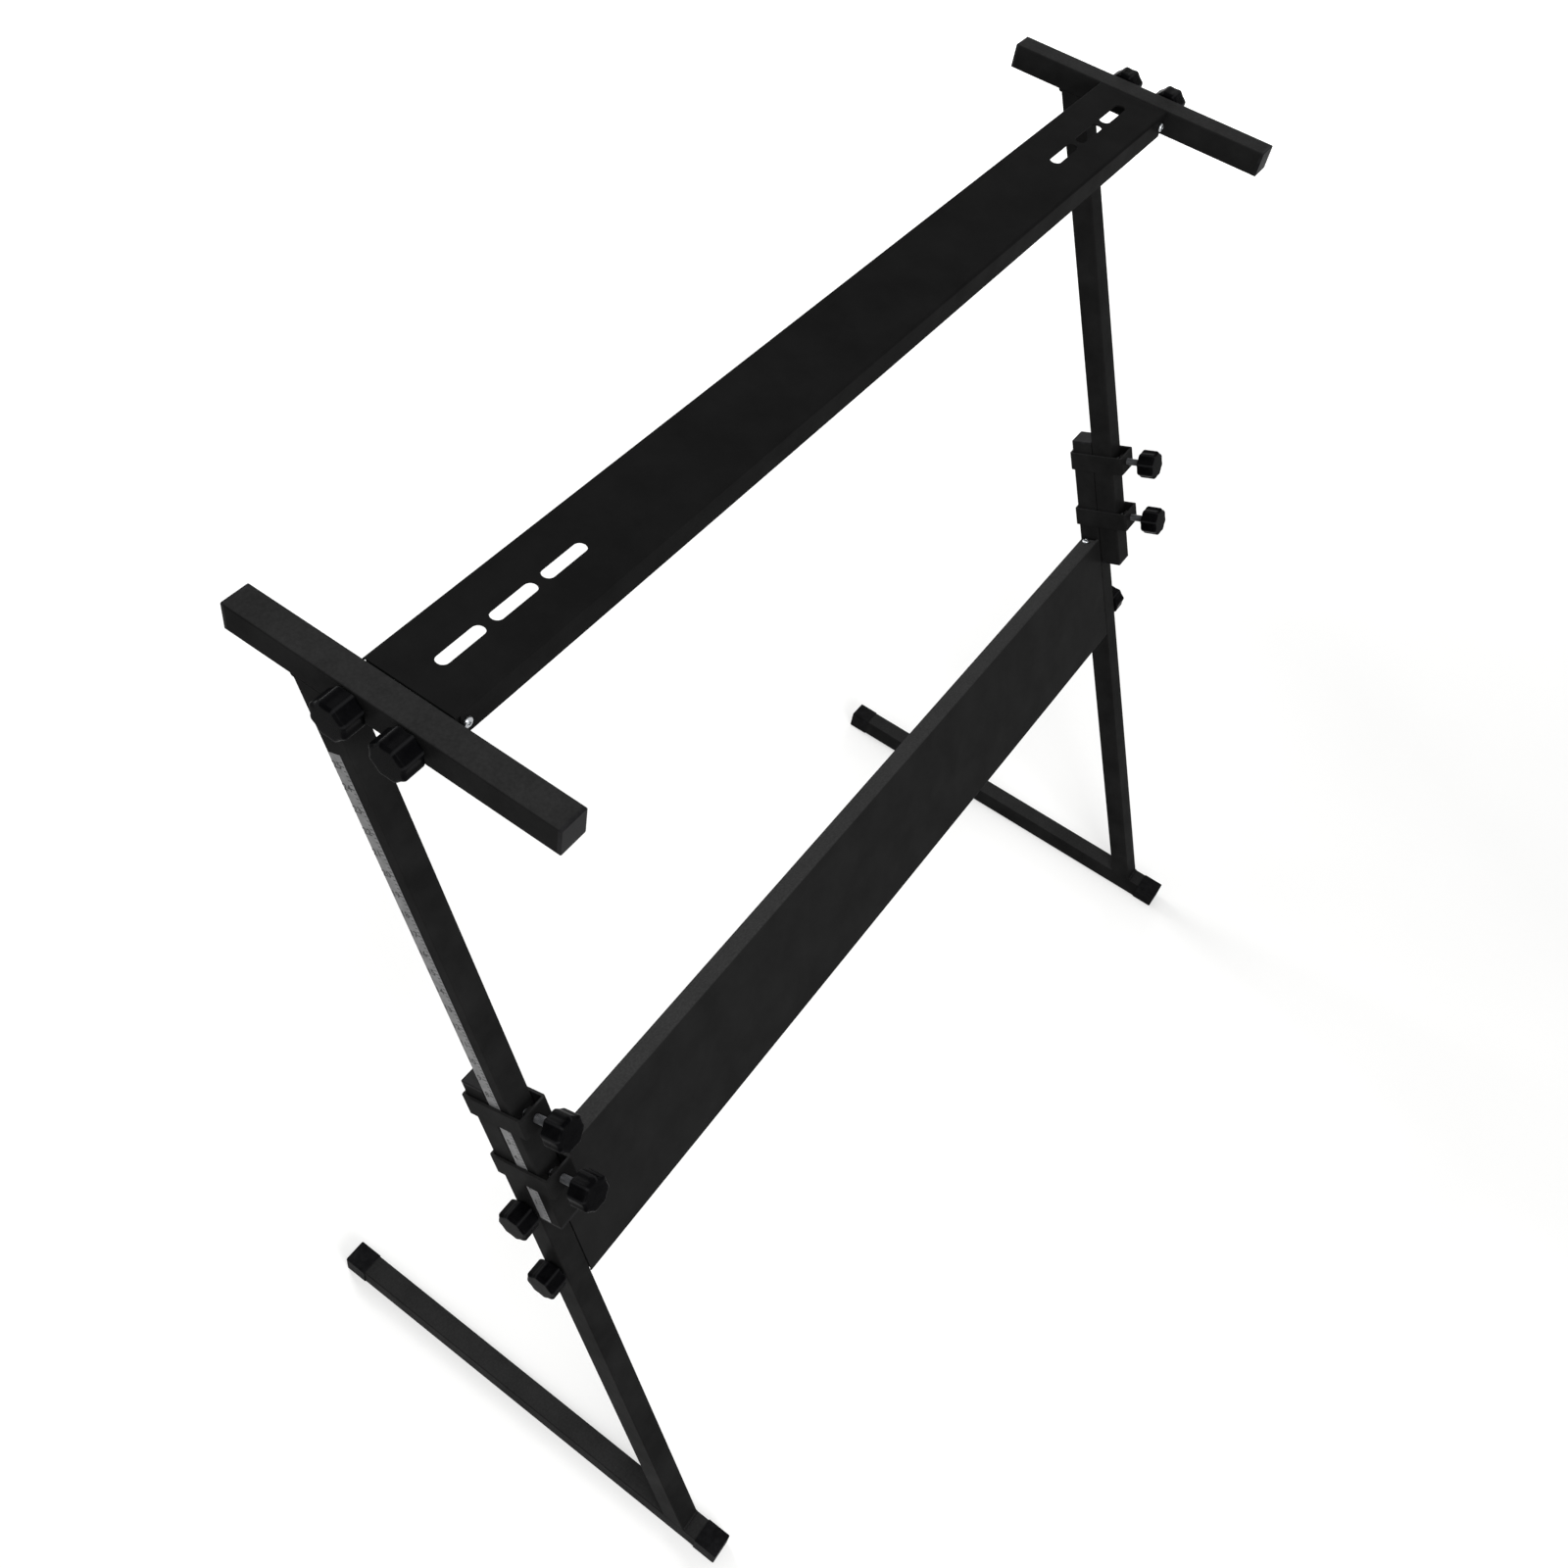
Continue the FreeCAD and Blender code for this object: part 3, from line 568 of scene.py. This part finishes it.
for side, sign in zip(SIDES, (-1, 1)):
    low, high = corners(side + "_scale_strip", LEG_TURN)
    face = low.x if sign < 0 else high.x
    steps = int((high.z - low.z - 2 * TICK_PITCH) / TICK_PITCH)
    start = low.z + TICK_PITCH
    ends = [LEG_TURN @ Vector((face, low.y + TICK_INSET, z))
            for z in (start, start + (steps + TICK_SPARE) * TICK_PITCH)]
    ticks = grow(side + "_scale_ticks", tick_tree, line_mesh("tick_line", [ends]),
                 Pitch=TICK_PITCH, Short=TICK_LENGTH, Long=TICK_LONG, Thick=TICK_THICK,
                 Rise=INK_RISE, Every=float(TICK_EVERY))
    numbers = bmesh.new()
    across = LEG_TURN @ Vector((0, sign, 0))
    for step in range(TICK_EVERY, steps, TICK_EVERY):
        words = bpy.data.curves.new("number", "FONT")
        words.body = str(step // TICK_EVERY)
        words.size = NUMBER_HEIGHT / DIGIT_SHARE
        words.align_x = "CENTER"
        words.align_y = "CENTER"
        words.extrude = INK_RISE / 2
        words.offset = NUMBER_BOLD
        words.resolution_u = 3
        text = bpy.data.objects.new("number", words)
        bpy.context.scene.collection.objects.link(text)
        bpy.context.view_layer.update()
        flat = bpy.data.meshes.new_from_object(text.evaluated_get(bpy.context.evaluated_depsgraph_get()))
        bpy.data.objects.remove(text)
        middle = (low.y + high.y) / 2 + NUMBER_ASIDE
        place = LEG_TURN @ Vector((face, middle, start + step * TICK_PITCH))
        flat.transform(Matrix((across, LEAN_AXIS, (sign, 0, 0))).transposed().to_4x4())
        flat.transform(Matrix.Translation(place))
        numbers.from_mesh(flat)
        bpy.data.meshes.remove(flat)
    bmesh.ops.remove_doubles(numbers, verts=numbers.verts, dist=INK_MERGE)
    scale = bpy.data.objects.new(side + "_scale_numbers", bpy.data.meshes.new(side + "_scale_numbers"))
    numbers.to_mesh(scale.data)
    numbers.free()
    scale.data.materials.append(scale_ink)
    bpy.context.scene.collection.objects.link(scale)
    for piece in (ticks, scale):
        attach(piece, "upper_frame")


# Arms: level square tubes that the keyboard stands on, welded across the tops of the upper legs.
# Same tube and coat, closed at both ends by flush plastic plugs.
ARM_BEAD = 1.4  # these welds are wider than the feet's
finish_with(tube_coat, "left_arm", "right_arm")
finish_with(plug_plastic, "left_arm_end_plugs", "right_arm_end_plugs")
arm_joints = []
for side in SIDES:
    low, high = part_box(side + "_upper_leg")
    for y in (high.y, high.y - (high.x - low.x) / LEAN_AXIS.z):
        arm_joints.append([(low.x + BEAD_INSET, y, high.z), (high.x - BEAD_INSET, y, high.z)])
arm_welds = grow("arm_welds", weld_tree, line_mesh("arm_joints", arm_joints),
                 Pitch=BEAD_PITCH, Width=BEAD_WIDTH * ARM_BEAD)
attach(arm_welds, "upper_frame")


# Top board: a shallow channel between the arms, with three slots near each end for a keyboard's bolts.
# Folded from 1.5 mm sheet steel and powder-coated; end brackets inside it take the arm knobs' studs,
# and pan screws through its flanges, bright in front and coated at the back, hold them.
BOARD_BLACK = "#131313"
BOARD_HAZE = "#181818"
board_coat = powder_coat("satin_black_powder_coat_on_board", BOARD_BLACK, BOARD_HAZE,
                         film=0.01, gloss=0.003, rough=0.44)
finish_with(board_coat, "top_board", "left_board_bracket", "right_board_bracket")
finish_with(bright_zinc, "board_nuts")
screws("board_screw_heads", "board_screws", "upper_frame", Matrix.Identity(3), axis=1, shown=-1)


# Knobs: twelve fluted hand knobs, two on each arm, two on each leg's collars and two on each panel end.
# The grip is black phenolic-like plastic moulded on an M8 stud of zinc-plated steel with a rolled thread.
KNOBS = [side + "_" + place for side in SIDES for place in
         ("front_arm", "rear_arm", "upper_panel", "lower_panel", "upper_clamp", "lower_clamp")]
KNOB_BLACK = "#050506"
KNOB_WORN = "#0d0d0e"
KNOB_PAINTED_GLINT = "#1c1c1d"  # painted highlight along the ridges, standing in for the lamps' glints
FLUTES = 8
FLUTE_DEPTH = 0.0014
FLUTE_FULL = 0.72  # under 1 widens the flutes and narrows the ridges between them
GLINT_FADE_SHARE = 0.25  # how far into a flute the painted ridge highlight fades, as a share of its depth
GLINT_FROM = 0.9  # share of the flutes' depth from which ridges get the painted highlight, so the end face doesn't
GRIP_FACETS = 128
STUD_RADIUS = 0.004
STUD_FACETS = 32
# The studs' zinc is painted much darker than the screws': partly duller plating, partly painted shade.
STUD_PALE_PAINTED_SHADE = "#5c5d5f"
STUD_DULL_PAINTED_SHADE = "#3d3e40"
THREAD_PITCH = 0.00125
THREAD_DEPTH = 0.00068
CREST_FACETS = 6  # round the section of the thread's ridge
MILLIMETRES = 1000  # in a metre
stud_zinc_painted_shade = zinc_plate("zinc_plate_on_threads_painted_shade", STUD_PALE_PAINTED_SHADE, STUD_DULL_PAINTED_SHADE, rough=0.42)
# The knobs' plastic carries a painted highlight tone on its ridge tops.
knob_plastic = moulded_plastic("moulded_black_knobs", KNOB_BLACK, KNOB_WORN,
                               gloss=0.009, rough=0.26, grain_depth=0.00003, rubbed=KNOB_PAINTED_GLINT)

grip_tree, given = open_tree("fluted_grip", Flutes="Float", Depth="Float", Fullness="Float")
grip_line = add(grip_tree, "GeometryNodeMeshToCurve", {"Mesh": given["Base"]})
grip_radius = add(grip_tree, "GeometryNodeInputNamedAttribute", {"Name": "turned_radius"},
                  data_type="FLOAT")
grip_ring = add(grip_tree, "GeometryNodeCurvePrimitiveCircle", {"Resolution": GRIP_FACETS, "Radius": 1.0})
grip_body = add(grip_tree, "GeometryNodeCurveToMesh",
                {"Curve": grip_line.outputs[0], "Profile Curve": grip_ring.outputs[0],
                 "Scale": grip_radius.outputs[0], "Fill Caps": True})
grip_place = add(grip_tree, "GeometryNodeInputPosition")
grip_at = add(grip_tree, "ShaderNodeSeparateXYZ", {0: grip_place.outputs[0]})
grip_angle = add(grip_tree, "ShaderNodeMath", {0: grip_at.outputs[1], 1: grip_at.outputs[0]},
                 operation="ARCTAN2")
grip_turns = add(grip_tree, "ShaderNodeMath", {0: grip_angle.outputs[0], 1: given["Flutes"]},
                 operation="MULTIPLY")
grip_wave = add(grip_tree, "ShaderNodeMath", {0: grip_turns.outputs[0]}, operation="COSINE")
grip_share = add(grip_tree, "ShaderNodeMapRange", {"Value": grip_wave.outputs[0], "From Min": -1.0})
grip_hollow = add(grip_tree, "ShaderNodeMath", {0: grip_share.outputs[0], 1: given["Fullness"]},
                  operation="POWER")
grip_fluted = add(grip_tree, "GeometryNodeInputNamedAttribute", {"Name": "fluted"}, data_type="FLOAT")
grip_cut = add(grip_tree, "ShaderNodeMath", {0: grip_hollow.outputs[0], 1: grip_fluted.outputs[0]},
               operation="MULTIPLY")
grip_sink = add(grip_tree, "ShaderNodeMath", {0: grip_cut.outputs[0], 1: given["Depth"]},
                operation="MULTIPLY")
grip_flat = add(grip_tree, "ShaderNodeCombineXYZ", {0: grip_at.outputs[0], 1: grip_at.outputs[1]})
grip_out = add(grip_tree, "ShaderNodeVectorMath", {0: grip_flat.outputs[0]}, operation="NORMALIZE")
grip_in = add(grip_tree, "ShaderNodeMath", {0: grip_sink.outputs[0], 1: -1.0}, operation="MULTIPLY")
grip_move = add(grip_tree, "ShaderNodeVectorMath", {0: grip_out.outputs[0], "Scale": grip_in.outputs[0]},
                operation="SCALE")
# Painted highlight: a paler tone stored along the ridge tops, standing in for the lamps' glints.
grip_glint_across = add(grip_tree, "ShaderNodeMapRange",
                 {"Value": grip_hollow.outputs[0], "From Min": GLINT_FADE_SHARE, "From Max": 0.0})
grip_glint_along = add(grip_tree, "ShaderNodeMapRange", {"Value": grip_fluted.outputs[0], "From Min": GLINT_FROM})
grip_glint = add(grip_tree, "ShaderNodeMath", {0: grip_glint_across.outputs[0], 1: grip_glint_along.outputs[0]},
               operation="MULTIPLY")
grip_glint_stored = add(grip_tree, "GeometryNodeStoreNamedAttribute",
                {"Geometry": grip_body.outputs[0], "Name": "rubbed", "Value": grip_glint.outputs[0]},
                data_type="FLOAT", domain="POINT")
grip_shape = add(grip_tree, "GeometryNodeSetPosition",
                 {"Geometry": grip_glint_stored.outputs[0], "Offset": grip_move.outputs[0]})
grip_smooth = add(grip_tree, "GeometryNodeSetShadeSmooth", {0: grip_shape.outputs[0]})
close_tree(grip_tree, grip_smooth.outputs[0], knob_plastic)

# height above the seat and radius, both in millimetres, and the share of the flutes' full depth
GRIP_LINE = ((0.0, 4.2, 0), (0.01, 7.2, 0), (0.1, 7.7, 0), (0.3, 7.95, 0), (0.6, 8.0, 0), (1.6, 8.0, 0),
             (1.9, 8.05, 0), (1.98, 8.2, 0), (1.99, 10.0, 0.5), (2.0, 13.4, 0.9), (2.03, 14.3, 1),
             (2.15, 14.8, 1), (2.4, 15.2, 1), (3.2, 16.0, 1), (3.5, 16.26, 1), (3.9, 16.42, 1),
             (4.4, 16.5, 1), (8.0, 16.5, 1), (15.0, 16.5, 1), (19.4, 16.5, 1), (19.9, 16.42, 1),
             (20.3, 16.26, 1), (20.7, 16.0, 1), (21.4, 15.3, 1), (21.75, 14.8, 1), (21.9, 14.3, 1),
             (21.96, 13.6, 0.95), (21.975, 12.0, 0.7), (21.98, 8.0, 0.2), (21.985, 4.0, 0),
             (21.99, 1.0, 0))
grip_once = grow("grip_once", grip_tree,
                 line_mesh("grip_line", [[(0, 0, z / MILLIMETRES) for z, r, cut in GRIP_LINE]],
                           turned_radius=[r / MILLIMETRES for z, r, cut in GRIP_LINE],
                           fluted=[cut for z, r, cut in GRIP_LINE]),
                 Flutes=float(FLUTES), Depth=FLUTE_DEPTH, Fullness=FLUTE_FULL)

thread_tree, given = open_tree("rolled_thread", Turns="Float", Radius="Float", Depth="Float",
                               Length="Float")
thread_core = add(thread_tree, "ShaderNodeMath", {0: given["Radius"], 1: given["Depth"]},
                  operation="SUBTRACT")
thread_line = add(thread_tree, "GeometryNodeMeshToCurve", {"Mesh": given["Base"]})
thread_round = add(thread_tree, "GeometryNodeCurvePrimitiveCircle",
                   {"Resolution": STUD_FACETS, "Radius": thread_core.outputs[0]})
thread_rod = add(thread_tree, "GeometryNodeCurveToMesh",
                 {"Curve": thread_line.outputs[0], "Profile Curve": thread_round.outputs[0],
                  "Fill Caps": True})
thread_ridge = add(thread_tree, "GeometryNodeCurvePrimitiveCircle",
                   {"Resolution": CREST_FACETS, "Radius": given["Depth"]})
thread_helix = add(thread_tree, "GeometryNodeCurveSpiral",
                   {"Resolution": STUD_FACETS, "Rotations": given["Turns"],
                    "Start Radius": thread_core.outputs[0], "End Radius": thread_core.outputs[0],
                    "Height": given["Length"]})
thread_rise = add(thread_tree, "ShaderNodeCombineXYZ", {2: given["Depth"]})
thread_lift = add(thread_tree, "GeometryNodeTransform",
                  {0: thread_helix.outputs[0], "Translation": thread_rise.outputs[0]})
thread_upright = add(thread_tree, "GeometryNodeSetCurveNormal", {0: thread_lift.outputs[0]}, mode="Z_UP")
thread_crest = add(thread_tree, "GeometryNodeCurveToMesh",
                   {"Curve": thread_upright.outputs[0], "Profile Curve": thread_ridge.outputs[0],
                    "Fill Caps": True})
thread_both = add(thread_tree, "GeometryNodeJoinGeometry")
for part in (thread_rod, thread_crest):
    thread_tree.links.new(part.outputs[0], thread_both.inputs[0])
thread_smooth = add(thread_tree, "GeometryNodeSetShadeSmooth", {0: thread_both.outputs[0]})
close_tree(thread_tree, thread_smooth.outputs[0], stud_zinc_painted_shade)


def on_axis(node, joint):
    """The turn and move that put Z on a joint's axis where a node starts, and the node's length there."""
    at, way = Vector(joint["pos_m"]), Vector(joint["axis"]).normalized()
    reach = [(v.co - at).dot(way) for v in frame["nodes"][node].data.vertices]
    spot = Matrix.Translation(at + way * min(reach)) @ way.to_track_quat("Z", "Y").to_matrix().to_4x4()
    return spot, max(reach) - min(reach)


for knob in KNOBS:
    joint = next(j for j in frame["joints"] if j["name"] == knob + "_turn")
    spot, length = on_axis(knob + "_stud", joint)
    threaded = length - 2 * THREAD_DEPTH
    stud = grow(knob + "_thread", thread_tree, line_mesh("stud_line", [[(0, 0, 0), (0, 0, length)]]),
                Turns=threaded / THREAD_PITCH, Radius=STUD_RADIUS, Depth=THREAD_DEPTH, Length=threaded)
    stud.data.transform(spot)
    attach(stud, knob + "_stud")
    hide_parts(knob + "_stud")
    spot, length = on_axis(knob + "_grip", joint)
    grip = bpy.data.objects.new(knob + "_moulding", grip_once.data.copy())
    grip.data.transform(spot)
    bpy.context.scene.collection.objects.link(grip)
    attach(grip, knob + "_grip")
    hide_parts(knob + "_grip")
bpy.data.objects.remove(grip_once)


# Studio: a plain pale floor under soft lamps, in a white surround; not part of the stand.
# The floor is matt white paint, and far from the lamps it glows enough to run into the surround,
# so that no edge shows behind the stand.
WHITE = "#ffffff"
FLOOR_WHITE = "#cfcfce"
FLOOR_PALE = "#d5d5d4"
FLOOR_MOTTLE = 1 / 3  # from one cloud in the paint to the next, in metres
FLOOR_GLOW = 0.38  # what the camera and mirrors see on top of the light, so that the floor looks white
FLOOR_FAR_GLOW = 0.76
FLOOR_NEAR = 1.2  # from the stand's middle to where the lamps' light starts to fall off
FLOOR_FAR = 3.5
FLOOR_SIZE = 40.0
SURROUND_LIGHT = 0.4  # strength of the white surround as light on the stand
SURROUND_SEEN = 1.0
AIM = Vector((0.0, 0.0, 0.55))
SOFTBOXES = (("key_softbox", (-1.2, -0.6, 2.6), 0.9, 15.0),  # name, place, side and watts
             ("front_softbox", (-1.2, -1.9, 1.8), 1.2, 34.0),
             ("back_softbox", (0.2, 1.3, 2.75), 0.8, 7.0),
             ("rim_softbox", (0.6, 2.5, 1.9), 0.7, 26.0),
             ("right_softbox", (3.0, 0.7, 0.9), 1.2, 15.0),
             ("rear_softbox", (0.9, 3.0, 1.0), 1.4, 24.0))


def looked_at(tree):
    """One for what the camera, a mirror or glass looks at, nought for light on its way to the stand."""
    path = add(tree, "ShaderNodeLightPath")
    direct = add(tree, "ShaderNodeMath",
                 {0: path.outputs["Is Camera Ray"], 1: path.outputs["Is Glossy Ray"]}, operation="MAXIMUM")
    both = add(tree, "ShaderNodeMath",
               {0: direct.outputs[0], 1: path.outputs["Is Transmission Ray"]}, operation="MAXIMUM")
    return both.outputs[0]


half = FLOOR_SIZE / 2
floor_corners = [(-half, -half, 0), (half, -half, 0), (half, half, 0), (-half, half, 0)]
floor_mesh = bpy.data.meshes.new("studio_floor")
floor_mesh.from_pydata(floor_corners, [], [(0, 1, 2, 3)])
floor = bpy.data.objects.new("studio_floor", floor_mesh)
bpy.context.scene.collection.objects.link(floor)
floor_paint, tree, shader, at = begin("matt_white_floor_paint")
mottle = add(tree, "ShaderNodeTexNoise", {"Vector": at, "Scale": 1 / FLOOR_MOTTLE, "Detail": 3.0})
tone = add(tree, "ShaderNodeMix", {0: mottle.outputs[0], 6: linear(FLOOR_WHITE), 7: linear(FLOOR_PALE)},
           data_type="RGBA")
away = add(tree, "ShaderNodeVectorMath", {0: at}, operation="LENGTH")
fade = add(tree, "ShaderNodeMapRange",
           {"Value": away.outputs["Value"], "From Min": FLOOR_NEAR, "From Max": FLOOR_FAR,
            "To Min": FLOOR_GLOW, "To Max": FLOOR_FAR_GLOW})
lift = add(tree, "ShaderNodeMath", {0: looked_at(tree), 1: fade.outputs[0]}, operation="MULTIPLY")
tree.links.new(tone.outputs[2], shader.inputs["Base Color"])
tree.links.new(lift.outputs[0], shader.inputs["Emission Strength"])
shader.inputs["Roughness"].default_value = 0.85
shader.inputs["Specular IOR Level"].default_value = 0.1
shader.inputs["Emission Color"].default_value = linear(WHITE)
floor_mesh.materials.append(floor_paint)
floor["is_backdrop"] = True

world = bpy.data.worlds.new("white_surround")
bpy.context.scene.world = world
world.use_nodes = True
tree = world.node_tree
tree.nodes.clear()
glow = add(tree, "ShaderNodeMapRange",
           {"Value": looked_at(tree), "To Min": SURROUND_LIGHT, "To Max": SURROUND_SEEN})
sky = add(tree, "ShaderNodeBackground", {"Color": linear(WHITE), "Strength": glow.outputs[0]})
add(tree, "ShaderNodeOutputWorld", {"Surface": sky.outputs[0]})

for name, place, side_length, watts in SOFTBOXES:
    lamp = bpy.data.lights.new(name, "AREA")
    lamp.shape = "SQUARE"
    lamp.size = side_length
    lamp.energy = watts
    holder = bpy.data.objects.new(name, lamp)
    holder.location = place
    holder.rotation_mode = "QUATERNION"
    holder.rotation_quaternion = (AIM - Vector(place)).to_track_quat("-Z", "Y")
    bpy.context.scene.collection.objects.link(holder)


# Camera: where the photograph was taken from, above and outside the left arm.
# Its lens, place and turn were fitted to the corners of the tubes, with no depth of field.
PHOTO_SIDE = 1600
FOCAL_PIXELS = 1645.48
CENTRE_PIXELS = (771.95, 756.49)
SENSOR = 36.0
CAMERA_AT = (-1.01963, -0.35442, 1.87209)
CAMERA_TURN = (39.7586, -7.4042, -55.0891)  # degrees
eye = bpy.data.cameras.new("photo_camera")
eye.sensor_width = SENSOR
eye.lens = SENSOR * FOCAL_PIXELS / PHOTO_SIDE
eye.shift_x = (PHOTO_SIDE / 2 - CENTRE_PIXELS[0]) / PHOTO_SIDE
eye.shift_y = (CENTRE_PIXELS[1] - PHOTO_SIDE / 2) / PHOTO_SIDE
camera = bpy.data.objects.new("photo_camera", eye)
camera.location = CAMERA_AT
camera.rotation_euler = [math.radians(turn) for turn in CAMERA_TURN]
bpy.context.scene.collection.objects.link(camera)
bpy.context.scene.camera = camera
bpy.context.scene.view_settings.view_transform = "Standard"

low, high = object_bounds()
